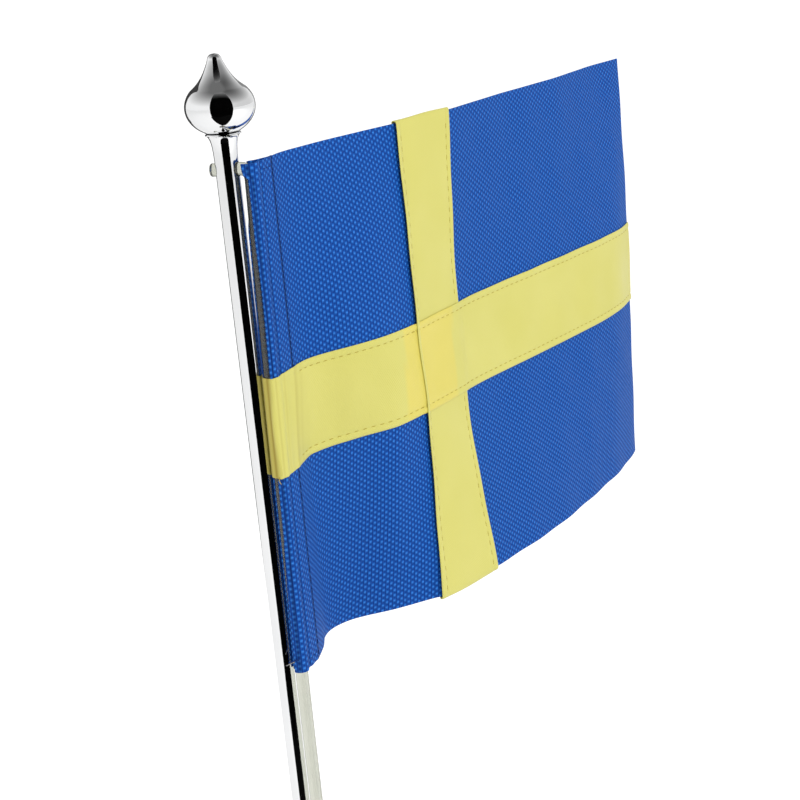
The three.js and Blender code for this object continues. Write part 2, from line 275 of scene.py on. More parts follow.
# marks: their scale, the roughness where smooth and where worn, and the bump's depth
chromeSettings = {
    "marks": (500.0, 0.02, 0.09, 0.000004),
    "clean": (0.87, 0.875, 0.88, 1),
    "dusty": (0.83, 0.835, 0.84, 1),
    "plain": {"Metallic": 1.0},
}
steelSettings = {
    "marks": (1500.0, 0.22, 0.5, 0.00003),
    "clean": (0.56, 0.57, 0.58, 1),
    "dusty": (0.44, 0.44, 0.43, 1),
    "plain": {"Metallic": 1.0},
}
plasticSettings = {
    "marks": (900.0, 0.06, 0.2, 0.00001),
    "clean": (0.68, 0.69, 0.6, 1),
    "dusty": (0.62, 0.63, 0.54, 1),
    "plain": {"Transmission Weight": 0.94, "IOR": 1.49},
}


def makeHandled(name, settings):
    material, tree, shader = newMaterial(name)
    scale, smoothest, worn, depth = settings["marks"]
    marks = placeGroup(tree, handlingMarks,
                       {"Place": objectPlace(tree), "Scale": scale, "Smooth": smoothest, "Worn": worn})
    setSockets(tree, shader, {
        "Base Color": mixColour(tree, marks["Dust"], settings["clean"], settings["dusty"]),
        "Roughness": marks["Roughness"],
        "Normal": bumpFrom(tree, marks["Height"], depth),
        **settings["plain"],
    })
    return material


def makeIron():
    material, tree, shader = newMaterial("sandCastIron")
    place = objectPlace(tree)
    grain = noiseOf(tree, place, 900.0, Detail=8.0, Roughness=0.7)
    stain = rangeOf(tree, noiseOf(tree, place, 70.0, Detail=4.0), 0.45, 0.7)
    setSockets(tree, shader, {
        "Metallic": 0.6,
        "Base Color": mixColour(tree, stain, (0.055, 0.056, 0.06, 1), (0.11, 0.075, 0.055, 1)),
        "Roughness": rangeOf(tree, grain, 0.2, 0.8, 0.55, 0.85),
        "Normal": bumpFrom(tree, grain, 0.00015),
    })
    return material


def makeFelt():
    material, tree, shader = newMaterial("pressedFelt")
    place = objectPlace(tree)
    fibre = noiseOf(tree, place, 2200.0, Detail=7.0, Distortion=1.2)
    cloud = noiseOf(tree, place, 120.0, Detail=3.0)
    setSockets(tree, shader, {
        "Sheen Weight": 0.4,
        "Sheen Roughness": 0.5,
        "Base Color": mixColour(tree, fibre, (0.006, 0.008, 0.007, 1), (0.03, 0.035, 0.03, 1)),
        "Roughness": rangeOf(tree, cloud, 0.3, 0.7, 0.88, 1.0),
        "Normal": bumpFrom(tree, fibre, 0.0003),
    })
    return material


def makeBlueCloth():
    material, tree, shader = newMaterial("blueWovenCloth")
    place = uvPlace(tree)
    weave = placeGroup(tree, yarnWeave, {"Place": place})
    broad = noiseOf(tree, place, 30.0, Detail=2.0)
    tint = mixColour(tree, broad, (0.003, 0.08, 0.39, 1), (0.007, 0.095, 0.43, 1))
    # painted highlight on the raised floats, then painted shade in the gaps between yarns
    tint = mixColour(tree, rangeOf(tree, weave["Float"], 0.6, 1.0), tint, (0.035, 0.21, 0.66, 1))
    tint = mixColour(tree, weave["GapShade"], tint, (0.0, 0.02, 0.16, 1))
    tint = mixColour(tree, rangeOf(tree, weave["Yarn"], 0.3, 0.8, 0.0, 0.35), tint, (0.008, 0.06, 0.27, 1))
    # painted shade: dark navy along the cloth's fold lines and the seam
    tint = mixColour(tree, attributeOf(tree, "paintedCreaseShade"), tint, (0.0, 0.005, 0.045, 1))
    setSockets(tree, shader, {
        "Sheen Weight": 0.02,
        "Sheen Roughness": 0.4,
        "Specular IOR Level": 0.12,
        "Base Color": tint,
        "Roughness": rangeOf(tree, weave["Yarn"], 0.2, 0.8, 0.55, 0.75),
        "Normal": bumpFrom(tree, weave["Float"], 0.00022),
    })
    return material


def makeSatin(name, plain, warm):
    # warm shows where two layers of ribbon lie on each other, and is painted shade over the level ribbon's
    # loop round the rod
    material, tree, shader = newMaterial(name)
    place = uvPlace(tree)
    fine = placeGroup(tree, yarnWeave, {"Place": place, "Column": 0.00028, "Row": 0.00042, "Wander": 0.00005})
    broad = noiseOf(tree, place, 45.0, Detail=2.0)
    tint = mixColour(tree, attributeOf(tree, "doubledAndLoopShade"), plain, warm)
    tint = mixColour(tree, rangeOf(tree, broad, 0.3, 0.7, 0.0, 0.3), tint, (0.53, 0.5, 0.1, 1))
    # painted shade in the gaps between the satin's fine yarns
    tint = mixColour(tree, rangeOf(tree, fine["GapShade"], 0.0, 1.0, 0.0, 0.16), tint, (0.38, 0.34, 0.05, 1))
    # painted shade: dark gold along fold lines and round the back of the rod
    tint = mixColour(tree, attributeOf(tree, "paintedCreaseShade"), tint, (0.3, 0.22, 0.01, 1))
    setSockets(tree, shader, {
        "Sheen Weight": 0.12,
        "Sheen Roughness": 0.3,
        "Anisotropic": 0.4,
        "Base Color": tint,
        "Roughness": rangeOf(tree, broad, 0.3, 0.7, 0.38, 0.52),
        "Normal": bumpFrom(tree, fine["Float"], 0.00003),
    })
    return material


def makeThread(name, colour, grooveShadeColour):
    material, tree, shader = newMaterial(name)
    sockets = {"Vector": objectPlace(tree), "Scale": 900.0, "Distortion": 1.5, "Detail": 2.0}
    twist = addNode(tree, "ShaderNodeTexWave", sockets, bands_direction="DIAGONAL").outputs["Fac"]
    setSockets(tree, shader, {
        "Specular IOR Level": 0.1,
        # painted shade: darker colour in the twist's grooves
        "Base Color": mixColour(tree, twist, grooveShadeColour, colour),
        "Roughness": rangeOf(tree, twist, 0, 1, 0.5, 0.7),
        "Normal": bumpFrom(tree, twist, 0.00004),
    })
    return material


chrome = makeHandled("mirrorChrome", chromeSettings)
steel = makeHandled("zincPlatedSteel", steelSettings)
iron = makeIron()
felt = makeFelt()
clearPlastic = makeHandled("clearPlasticRod", plasticSettings)
blueCloth = makeBlueCloth()
yellowSatin = makeSatin("yellowSatin", (0.59, 0.555, 0.135, 1), (0.65, 0.555, 0.1, 1))
blueThread = makeThread("blueThread", (0.008, 0.04, 0.2, 1), (0.002, 0.012, 0.07, 1))
yellowThread = makeThread("yellowThread", (0.48, 0.4, 0.07, 1), (0.3, 0.22, 0.03, 1))
greyThread = makeThread("greyThread", (0.3, 0.3, 0.3, 1), (0.08, 0.08, 0.09, 1))
print("materials made")


def catmull(points, steps):
    # a smooth curve through the points, as tuples
    out = []
    points = [Vector(p) for p in points]
    for i in range(len(points) - 1):
        a = points[max(i - 1, 0)]
        b, c = points[i], points[i + 1]
        d = points[min(i + 2, len(points) - 1)]
        for k in range(steps):
            t = k / steps
            out.append(0.5 * ((2 * b) + (c - a) * t + (2 * a - 5 * b + 4 * c - d) * t * t
                              + (3 * b - a - 3 * c + d) * t ** 3))
    out.append(points[-1])
    return [tuple(p) for p in out]


# turned pieces: a ring is extruded and resized up the profile, and closed at its ends
def turnPiece(profile, sides):
    # profile: (radius, height) from the bottom up, in metres
    deselectAll()
    radius, height = profile[0]
    bpy.ops.mesh.primitive_circle_add(vertices=sides, radius=radius, fill_type="NOTHING",
                                      location=(0, 0, height))
    piece = bpy.context.object
    bpy.ops.object.transform_apply(location=True, rotation=True, scale=True)
    bpy.ops.object.mode_set(mode="EDIT")
    bpy.ops.mesh.select_mode(type="VERT")
    bpy.ops.mesh.select_all(action="SELECT")
    for nextRadius, nextHeight in profile[1:]:
        bpy.ops.mesh.extrude_edges_move(TRANSFORM_OT_translate={"value": (0, 0, nextHeight - height)})
        factor = nextRadius / radius
        bpy.ops.transform.resize(value=(factor, factor, 1), center_override=(0, 0, nextHeight))
        radius, height = nextRadius, nextHeight
    return piece


def closeEnds(piece, sides):
    # the top ring is selected; the bottom ring is the first one made
    bpy.ops.mesh.edge_face_add()
    bpy.ops.mesh.select_all(action="DESELECT")
    mesh = bmesh.from_edit_mesh(piece.data)
    mesh.verts.ensure_lookup_table()
    for vertex in mesh.verts[:sides]:
        vertex.select = True
    mesh.select_flush(True)
    bmesh.update_edit_mesh(piece.data)
    bpy.ops.mesh.edge_face_add()
    outwardNormals()


finial = {
    "sides": 96,
    "ballHalf": 6.3,        # mm, half the ball's height
    "ballMiddle": 0.33,     # share of the whole height
    "ballEnds": 38,         # degrees above the ball's middle
    "neckRadius": 3.7,      # mm, the groove under the ball
    # shares of the ball's radius and of the height, then of the radius and mm below the tip
    "spire": [(0.59, 0.632), (0.425, 0.725), (0.285, 0.84)],
    "tip": [(0.215, 1.5), (0.185, 0.75), (0.125, 0.22), (0.03, 0.01)],
}


def makeFinial():
    low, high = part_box("finial")
    bottom, top = low.z, high.z
    radius = (high.x - low.x) / 2
    height = top - bottom
    half = finial["ballHalf"] * mm
    middle = bottom + height * finial["ballMiddle"]
    profile = [(finial["neckRadius"] * mm, bottom)]
    first = math.asin(max(-1.0, (bottom - middle) / half + 0.06))
    last = math.radians(finial["ballEnds"])
    for k in range(25):
        angle = first + (last - first) * k / 24
        profile.append((radius * math.cos(angle), middle + half * math.sin(angle)))
    spire = [(radius * a, bottom + height * b) for a, b in finial["spire"]]
    tip = [(radius * a, top - b * mm) for a, b in finial["tip"]]
    profile += catmull([profile[-1]] + spire + tip, 5)[1:]
    piece = turnPiece(profile, finial["sides"])
    closeEnds(piece, finial["sides"])
    smooth(piece, 50)
    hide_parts("finial")
    return finishPiece(piece, "finialTurned", chrome, "stand")


pole = {
    "sides": 96,
    "radius": 2.65,
    "rimRadius": 4.05,
    "flareHeight": 6.3,
    # shares of the flare's width, and of its height below the top
    "flare": [(0.08, 0.58), (0.24, 0.32), (0.58, 0.12)],
    "holeRadius": 1.7,
    "holeDepth": 9,
}

headingAngle = math.radians(57)
alongFlag = Vector((math.cos(headingAngle), math.sin(headingAngle), 0))
leftOfFlag = Vector((-math.sin(headingAngle), math.cos(headingAngle), 0))


def fromFlag(along, left, z):
    # a point given along the flag and to its left from the pole's axis, in metres
    spot = alongFlag * along + leftOfFlag * left
    return Vector((spot.x, spot.y, z))


rod = {
    "radius": 1.5,
    "sides": 24,
    "bow": 3.0,
    "offset": 5.09,       # pole axis to the rod's plane
    "bend": 2.6,
    "tipReach": 3.9,
    "tipRound": 0.45,
}

rodLow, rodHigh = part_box("flag_rod")
rodTop = rodHigh.z - rod["radius"] * mm
rodFoot = rodLow.z + rod["radius"] * mm


def rodAlong(z):
    # where the bowed leg is along the flag at height z, in millimetres
    top = rodTop - rod["bend"] * mm
    foot = rodFoot + rod["bend"] * mm
    t = min(1.0, max(0.0, (top - z) / (top - foot)))
    end = rod["bow"] / 2
    middle = end - 2 * rod["bow"]
    return end * ((1 - t) ** 2 + t * t) + 2 * t * (1 - t) * middle


def makePole():
    low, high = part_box("pole")
    bottom, top = low.z, high.z
    r, rim = pole["radius"] * mm, pole["rimRadius"] * mm
    flare = pole["flareHeight"] * mm
    profile = [(r - 0.4 * mm, bottom), (r - 0.1 * mm, bottom + 0.1 * mm), (r, bottom + 0.4 * mm)]
    profile += [(r, bottom + (top - flare - bottom) * k / 12) for k in range(1, 13)]
    widening = [(r + (rim - r) * a, top - flare * b) for a, b in pole["flare"]]
    profile += catmull([(r, top - flare)] + widening + [(rim, top - 0.3 * mm)], 5)[1:]
    profile += [(rim - 0.06 * mm, top - 0.12 * mm), (rim - 0.25 * mm, top)]
    piece = turnPiece(profile, pole["sides"])
    closeEnds(piece, pole["sides"])
    end = fromFlag(rod["bow"] / 2 * mm, -rod["offset"] * mm, 0)
    angle = math.atan2(end.y, end.x)
    for height in (rodTop, rodFoot):
        deselectAll()
        bpy.ops.mesh.primitive_cylinder_add(
            vertices=32, radius=pole["holeRadius"] * mm, depth=pole["holeDepth"] * mm,
            location=(0, 0, height), rotation=(0, math.pi / 2, angle))
        drill = bpy.context.object
        makeActive(piece)
        cutHole = piece.modifiers.new("crossHole", "BOOLEAN")
        cutHole.operation = "DIFFERENCE"
        cutHole.solver = "EXACT"
        cutHole.object = drill
        applyModifiers(piece)
        bpy.data.objects.remove(drill)
    smooth(piece, 30)
    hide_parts("pole")
    return finishPiece(piece, "poleTurned", chrome, "stand")


cover = {
    "sides": 128,
    "wall": 1.2,
    "rimHeight": 3.0,
    "hubRadius": 5.0,
    "hubHeight": 22.0,
    "boreRadius": 2.8,
    # shares of the radius, and mm above the rim
    "slope": [(1, 0), (0.98, 2.2), (0.91, 3.9), (0.7, 5.4), (0.45, 6.8), (0.26, 8.9)],
}


def makeCover():
    low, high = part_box("base_cover")
    radius = (high.x - low.x) / 2
    rim = cover["rimHeight"] * mm
    hub = cover["hubRadius"] * mm
    slope = [(radius * a, rim + b * mm) for a, b in cover["slope"]]
    profile = [(radius - 0.25 * mm, low.z), (radius - 0.07 * mm, low.z + 0.07 * mm),
               (radius, low.z + 0.25 * mm)]
    profile += catmull(slope + [(hub * 1.24, rim + 13 * mm), (hub, cover["hubHeight"] * mm)], 7)
    profile += [(hub - 0.15 * mm, high.z - 0.15 * mm), (hub - 0.5 * mm, high.z),
                (cover["boreRadius"] * mm, high.z)]
    piece = turnPiece(profile, cover["sides"])
    outwardNormals()
    outer = sum((p.normal.x * p.center.x + p.normal.y * p.center.y) * p.area for p in piece.data.polygons)
    if outer < 0:
        bpy.ops.object.mode_set(mode="EDIT")
        bpy.ops.mesh.select_all(action="SELECT")
        bpy.ops.mesh.flip_normals()
        bpy.ops.object.mode_set(mode="OBJECT")
    wall = piece.modifiers.new("wall", "SOLIDIFY")
    wall.thickness = cover["wall"] * mm
    wall.offset = -1
    applyModifiers(piece)
    smooth(piece, 35)
    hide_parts("base_cover")
    return finishPiece(piece, "coverTurned", chrome, "stand")


makeFinial()
makePole()
makeCover()
for node, material in (("base_pad", felt), ("base_weight", iron), ("base_screw", steel),
                       ("base_washer", steel), ("finial_stud", steel)):
    dress(node, material)
print("turned pieces made")


def roundCorner(start, corner, end):
    steps = [k / 10 for k in range(10)]
    return [start * (1 - t) ** 2 + corner * 2 * t * (1 - t) + end * t * t for t in steps]


def rodPath():
    # from the top tip, through the pole, down the bowed leg and back through the pole
    reach = math.hypot(rod["bow"] / 2, rod["offset"])
    outX = rod["bow"] / 2 / reach
    outY = -rod["offset"] / reach
    bend = rod["bend"] * mm
    tip = -rod["tipReach"]
    turnFrom = reach - rod["bend"]

    def leg(distance, z):
        return fromFlag(outX * distance * mm, outY * distance * mm, z)

    points = [leg(tip + (turnFrom - tip) * k / 6, rodTop) for k in range(6)]
    points += roundCorner(leg(turnFrom, rodTop), leg(reach, rodTop), leg(reach, rodTop - bend))
    for k in range(60):
        z = rodTop - bend + (rodFoot + 2 * bend - rodTop) * k / 60
        points.append(fromFlag(rodAlong(z) * mm, -rod["offset"] * mm, z))
    points += roundCorner(leg(reach, rodFoot + bend), leg(reach, rodFoot), leg(turnFrom, rodFoot))
    points += [leg(turnFrom + (tip - turnFrom) * k / 6, rodFoot) for k in range(7)]
    return points


def tubeFaces(base, rings, sides):
    # quads between rings of vertices, and a face over each end
    faces = []
    for ring in range(rings - 1):
        low = base + ring * sides
        for k in range(sides):
            n = (k + 1) % sides
            faces.append((low + k, low + n, low + sides + n, low + sides + k))
    faces.append(tuple(base + k for k in reversed(range(sides))))
    faces.append(tuple(base + (rings - 1) * sides + k for k in range(sides)))
    return faces


def tubeMesh(name, points, radii, sides):
    # a tube along points, with a radius for each of them, closed at both ends
    vertices = []
    count = len(points)
    side = None
    for i, point in enumerate(points):
        ahead = (points[min(i + 1, count - 1)] - points[max(i - 1, 0)]).normalized()
        if side is None:
            side = ahead.orthogonal().normalized()
        side = (side - ahead * side.dot(ahead)).normalized()
        other = ahead.cross(side)
        for k in range(sides):
            angle = 2 * math.pi * k / sides
            vertices.append(tuple(point + (side * math.cos(angle) + other * math.sin(angle)) * radii[i]))
    return meshPiece(name, vertices, tubeFaces(0, count, sides))


def makeRod():
    points = rodPath()
    radius = rod["radius"] * mm
    rounding = rod["tipRound"] * mm
    first, last = points[0], points[-1]
    inward = (points[1] - first).normalized()
    back = (points[-2] - last).normalized()
    angles = np.linspace(0.25, math.pi / 2, 5)
    capIn = [first + inward * rounding * (1 - math.cos(a)) for a in angles]
    capOut = [last + back * rounding * (1 - math.cos(a)) for a in np.linspace(math.pi / 2, 0.25, 5)]
    capRadii = [radius - rounding + rounding * math.sin(a) for a in angles]
    radii = capRadii + [radius] * (len(points) - 2) + capRadii[::-1]
    piece = tubeMesh("rodDrawn", capIn + points[1:-1] + capOut, radii, rod["sides"])
    smooth(piece, 60)
    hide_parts("flag_rod")
    return finishPiece(piece, "rodDrawn", clearPlastic, "stand")


makeRod()
print("rod made")


# flag lengths run from the sleeve's seam, heights from the flag's bottom edge, in millimetres
flag = {
    "hoist": 120.0,
    "panel": 181.6,
    "cloth": 0.4,
    "seam": 6.88,            # from the pole's axis, along the flag
    "flySag": 0.6,
    "ribbonThickness": 0.2,
    "ribbonWidth": 23.5,
    "uprightFrom": 49.6,
    "levelFrom": 48.0,
    "rowStep": 0.87,
    "columnStep": 1.4,
}

# plan of the cloth at four heights, seen from above: (along, left) of the seam
planCurves = {
    0.0: [(-1.0, 0), (5.5, 2.8), (10.6, 5.8), (15.2, 6.8), (20.3, 5.7), (25, 3.1), (32, -2.3), (40, -7.6),
          (46, -10.4), (67.6, -13.2), (99.7, -14.9), (137.7, -12.7), (155, -10.4), (166.8, -7.8)],
    48.0: [(-0.5, 0), (2.5, 0.9), (7.7, 2.4), (11, 2.3), (16, 1.1), (20.5, -0.7), (25, -2.5), (31, -5.5),
           (36, -7.0), (50, -7.8), (64, -7.8), (78, -8.0), (102, -9.8), (129, -11.4), (144, -11.8),
           (157, -10.8), (168.5, -8.4)],
    71.5: [(1.8, 0), (6, 0.5), (9.5, 0.4), (14, -0.9), (20, -3.6), (25.5, -5.4), (32, -7.3), (39, -8.1),
           (54, -7.9), (69.2, -7.5), (83, -7.6), (107, -9.2), (134, -10.6), (150, -11.0), (160, -10.4),
           (169.5, -8.7)],
    120.0: [(2.6, 0), (9.1, 1.1), (20, 0.4), (34.5, -1.6), (50.8, -4.7), (72.6, -6.9), (100, -6.6),
            (130.8, -7.4), (156, -5.8), (174.9, -6.3)],
}
# where the upright ribbon's two edges are along the flag at those heights
uprightEdges = {0.0: (42.3, 65.6), 48.0: (45.6, 66.4), 71.5: (43.3, 66.2), 120.0: (48.8, 71.2)}
planColumns = 400
planRows = 120


def planCurve(height):
    dense = np.array(catmull(planCurves[height], 24))
    run = np.concatenate([[0], np.cumsum(np.hypot(*np.diff(dense, axis=0).T))])
    start, panel = flag["uprightFrom"], flag["panel"]
    edges = np.interp(uprightEdges[height], dense[:, 0], run)
    places = np.interp(np.linspace(0, panel, planColumns + 1),
                       [0, start, start + flag["ribbonWidth"], panel],
                       [0, edges[0], edges[1], run[-1]])
    return np.stack([np.interp(places, run, dense[:, 0]), np.interp(places, run, dense[:, 1])], axis=1)


def planSheet():
    # a cubic over the heights that never swings past its four curves
    heights = sorted(planCurves)
    curves = [planCurve(height) for height in heights]
    slopes = [(b - a) / (high - low) for a, b, low, high in zip(curves, curves[1:], heights, heights[1:])]
    tangents = [slopes[0]]
    for a, b in zip(slopes, slopes[1:]):
        tangents.append(np.where(a * b > 0, 2 * a * b / np.where(a * b > 0, a + b, 1.0), 0.0))
    tangents.append(slopes[-1])
    rows = []
    for k in range(planRows + 1):
        up = flag["hoist"] * k / planRows
        i = min(max(np.searchsorted(heights, up) - 1, 0), len(heights) - 2)
        span = heights[i + 1] - heights[i]
        t = (up - heights[i]) / span
        rows.append(curves[i] * (1 + 2 * t) * (1 - t) ** 2 + curves[i + 1] * t * t * (3 - 2 * t)
                    + span * (tangents[i] * t * (1 - t) ** 2 - tangents[i + 1] * t * t * (1 - t)))
    return np.array(rows)


planTable = planSheet()


def planSpot(share, up):
    # between the table's rows and columns; past the panel's ends it runs on straight
    row = min(max(up / flag["hoist"], 0.0), 1.0) * planRows
    column = share * planColumns
    r = min(int(row), planRows - 1)
    c = min(max(int(column), 0), planColumns - 1)
    a, b = row - r, column - c
    low = planTable[r, c] * (1 - b) + planTable[r, c + 1] * b
    high = planTable[r + 1, c] * (1 - b) + planTable[r + 1, c + 1] * b
    return low * (1 - a) + high * a


def panelSpot(along, up):
    # middle of the cloth: (along, left, z) from the pole's axis in millimetres
    share = along / flag["panel"]
    spot = planSpot(share, up)
    ripple = 0.16 * math.sin(along * 0.31 + up * 0.11) * math.sin(up * 0.17 + 1.3) * ease(along, 4, 20)
    sag = flag["flySag"] * max(share, 0) ** 2 * up / flag["hoist"]
    return np.array([spot[0] + flag["seam"], spot[1] - rod["offset"] + ripple, up - sag])


def panelNormal(along, up):
    # unit vector to the flag's left
    step = 0.5
    a, b = panelSpot(along - step, up), panelSpot(along + step, up)
    direction = (b - a)[:2]
    direction /= np.hypot(*direction)
    return np.array([-direction[1], direction[0], 0.0])


def toWorld(spot):
    point = fromFlag(spot[0] * mm, spot[1] * mm, flagBottom + spot[2] * mm)
    return (point.x, point.y, point.z)


def smoothTable(points):
    dense = np.array(catmull(points, 8))
    return dense[:, 0], dense[:, 1]


# sleeve, in plan: the front ply dips beside the rod and runs flat to the seam
sleeve = {
    "front": smoothTable([(0.0, 0.02), (0.04, 0.12), (0.1, 0.28), (0.3, 0.5), (0.5, 0.84), (0.62, 0.98),
                          (0.72, 0.86), (0.82, 1.12), (0.91, 1.55), (1.0, 1.76)]),
    "back": smoothTable([(0.0, 0.2), (0.1, 0.3), (0.4, 0.75), (0.7, 1.3), (0.88, 1.7), (1.0, 1.82)]),
    "ribbon": smoothTable([(0.0, 0.3), (0.3, 0.58), (0.55, 0.98), (0.7, 1.08), (0.8, 1.26), (0.9, 1.6),
                           (1.0, 1.79)]),
    "wrap": 1.74,         # radius of the cloth's middle round the rod
    # how far the front ply wraps round the rod at each height
    "wrapHeights": (0, 8, 18, 28, 33, 47, 49, 71, 84, 90, 96, 101, 112, 116.6, 117.6, 120),
    "wrapAngles": (-200, -195, -189, -177, -168, -166, -150, -148, -147, -147, -151, -158, -164, -167,
                   -208, -212),
    "cornerFrom": 117.2,  # above this the front ply's corner stands out straight past the rod
    "cornerAngle": -164,
}


def sleeveSpot(share, up, side, lift=0.0, profile=None):
    # share 0 at the seam and 1 beside the rod; side -1 is the front, 1 the back
    seam = panelSpot(0.0, up)
    rodX = rodAlong(flagBottom + up * mm)
    shares, depths = sleeve[profile or ("front" if side < 0 else "back")]
    depth = np.interp(share, shares, depths) + lift
    x = seam[0] + (rodX - seam[0]) * share
    return np.array([x, -rod["offset"] + side * depth, up])


def noseSpot(degrees, up, radius):
    # a point round the rod, -90 degrees at its front and -180 towards the hoist end
    rodX = rodAlong(flagBottom + up * mm)
    angle = math.radians(degrees)
    return np.array([rodX + radius * math.cos(angle), -rod["offset"] + radius * math.sin(angle), up])


def frontEdgeAngle(up):
    return float(np.interp(up, sleeve["wrapHeights"], sleeve["wrapAngles"]))


def wrapSpot(degrees, up):
    flat = sleeve["cornerAngle"]
    radius = sleeve["wrap"]
    if up < sleeve["cornerFrom"] or degrees > flat:
        return noseSpot(degrees, up, radius)
    angle = math.radians(flat)
    ahead = np.array([math.sin(angle), -math.cos(angle), 0.0])
    return noseSpot(flat, up, radius) + ahead * radius * math.radians(flat - degrees)


def gridPiece(name, grid, uvs, closedRows=False, paintedCreaseShades=None):
    rows, columns = len(grid), len(grid[0])
    vertices = [toWorld(spot) for row in grid for spot in row]
    faces, corners = [], []
    lastColumn = columns if closedRows else columns - 1
    for r in range(rows - 1):
        for c in range(lastColumn):
            n = (c + 1) % columns
            faces.append((r * columns + c, r * columns + n, (r + 1) * columns + n, (r + 1) * columns + c))
            corners.append(((r, c), (r, c + 1), (r + 1, c + 1), (r + 1, c)))
    piece = meshPiece(name, vertices, faces)
    mesh = piece.data
    layer = mesh.uv_layers.new(name="cloth")
    index = 0
    for face in corners:
        for r, c in face:
            layer.data[index].uv = (uvs[r][c][0] * mm, uvs[r][c][1] * mm)
            index += 1
    # painted shade along fold lines, given per column
    depth = mesh.attributes.new("paintedCreaseShade", "FLOAT", "POINT")
    line = np.zeros(columns, np.float32)
    for column, value in (paintedCreaseShades or {}).items():
        line[column] = value
    depth.data.foreach_set("value", np.tile(line, rows))
    return piece


def joinPieces(pieces, name):
    deselectAll()
    for piece in pieces:
        piece.select_set(True)
    bpy.context.view_layer.objects.active = pieces[0]
    bpy.ops.object.join()
    pieces[0].name = name
    return pieces[0]


def thicken(piece, thickness):
    wall = piece.modifiers.new("thickness", "SOLIDIFY")
    wall.thickness = thickness * mm
    wall.offset = 0.0
    wall.use_even_offset = True
    applyModifiers(piece)


def runs(low, high, step):
    count = max(2, int(math.ceil((high - low) / step)))
    return [low + (high - low) * k / count for k in range(count + 1)]


def runLength(row, axes=2):
    # distance along a row of spots, in plan or in space
    total = [0.0]
    for a, b in zip(row, row[1:]):
        total.append(total[-1] + float(np.linalg.norm((b - a)[:axes])))
    return total


clothSettings = {
    "noseSteps": 12,
    "frontSteps": 36,
    "backSteps": 14,
    "seamGroove": 0.2,
    "hemAlongs": (2.0, 1.2, 0.5),   # the back ply ends behind the panel
    "hemLift": 0.42,
    "backLift": 0.22,
    "backWrap": 1.82,
    "backEdge": 98,
    "bentEndClear": 1.9,    # the back ply stays clear of the rod's bent end
    # painted shade along each fold line, by column: hem edge, crease beside the rod, dip, seam
    "paintedCreaseShades": {0: 0.6, 4: 0.35, 5: 0.6, 6: 0.3, 21: 0.3, 22: 0.45, 23: 0.25,
                46: 0.4, 47: 1.0, 48: 1.0, 49: 1.0, 50: 0.3},
}


def frontRow(up, panelAlongs):
    nose, flat = clothSettings["noseSteps"], clothSettings["frontSteps"]
    edge = frontEdgeAngle(up)
    row = [wrapSpot(edge + (-90 - edge) * k / nose, up) for k in range(nose)]
    row += [sleeveSpot(1 - k / flat, up, -1) for k in range(flat)]
    seam = panelSpot(0, up)
    seam[1] += clothSettings["seamGroove"]
    return row + [seam] + [panelSpot(along, up) for along in panelAlongs]


def backRow(up):
    count, angle = clothSettings["backSteps"], clothSettings["backEdge"]
    lift = clothSettings["backLift"]
    row = [panelSpot(along, up) + panelNormal(along, up) * clothSettings["hemLift"]
           for along in clothSettings["hemAlongs"]]
    row += [sleeveSpot(k / count, up, 1, lift * (1 - k / count)) for k in range(count)]
    clear = clothSettings["bentEndClear"] * ease(up, 104, 114)
    row[-5:] = [spot + np.array([clear * (k + 1) / 5, 0, 0]) for k, spot in enumerate(row[-5:])]
    return row + [noseSpot(90 + (angle - 90) * k / 3, up, clothSettings["backWrap"]) + np.array([clear, 0, 0])
                  for k in range(4)]


def makeCloth():
    panelAlongs = [0.22, 0.45, 0.9, 1.4] + runs(2.2, flag["panel"], flag["columnStep"])
    seamColumn = clothSettings["noseSteps"] + clothSettings["frontSteps"]
    frontGrid, frontUv, backGrid, backUv = [], [], [], []
    for up in runs(0, flag["hoist"], flag["rowStep"]):
        frontGrid.append(frontRow(up, panelAlongs))
        lengths = runLength(frontGrid[-1])
        frontUv.append([(length - lengths[seamColumn], up) for length in lengths])
        backGrid.append(backRow(up))
        backUv.append([(0.7 - length, up) for length in runLength(backGrid[-1])])
    front = gridPiece("clothFront", frontGrid, frontUv, paintedCreaseShades=clothSettings["paintedCreaseShades"])
    back = gridPiece("clothBack", backGrid, backUv)
    cloth = joinPieces([front, back], "clothWoven")
    thicken(cloth, flag["cloth"])
    smooth(cloth, 55)
    return cloth


cloth = makeCloth()
print("cloth made", len(cloth.data.polygons))


ribbon = {
    "gap": 0.13,            # over the cloth
    "edgeLift": 0.65,       # the upright ribbon's hoist-side edge stands off the cloth
    "crossing": 0.34,       # the level ribbon's rise over the upright one
    "swell": 0.75,          # of the upright ribbon round the flag's top and bottom edges
    # raised, stitched border along both edges: distance from the edge and lift
    "border": [(0.0, 0.06), (0.25, 0.2), (0.6, 0.24), (1.3, 0.2), (1.75, 0.0), (2.2, 0.12), (3.2, 0.15),
               (11.75, 0.16)],
}
ribbonRise = flag["cloth"] / 2 + ribbon["gap"]


def ribbonLift(across, extraLow=0.0):
    distance = min(across, flag["ribbonWidth"] - across)
    places, lifts = zip(*ribbon["border"])
    lift = float(np.interp(distance, places, lifts))
    if across < 2.5:
        lift += extraLow * (1 - across / 2.5)
    return lift


def acrossSpots():
    width = flag["ribbonWidth"]
    near = [0.0, 0.12, 0.3, 0.6, 1.0, 1.4, 1.75, 2.1, 2.6, 3.4]
    middle = [4.6 + (width - 9.2) * k / 10 for k in range(11)]
    return near + middle + [width - a for a in reversed(near)]


def setDoubledAndLoopShade(piece, test):
    attribute = piece.data.attributes.new("doubledAndLoopShade", "FLOAT", "POINT")
    layer = piece.data.uv_layers["cloth"]
    values = np.zeros(len(piece.data.vertices), np.float32)
    for loop in piece.data.loops:
        u = layer.data[loop.index].uv[0]
        values[loop.vertex_index] = test(u / mm)
    attribute.data.foreach_set("value", values)


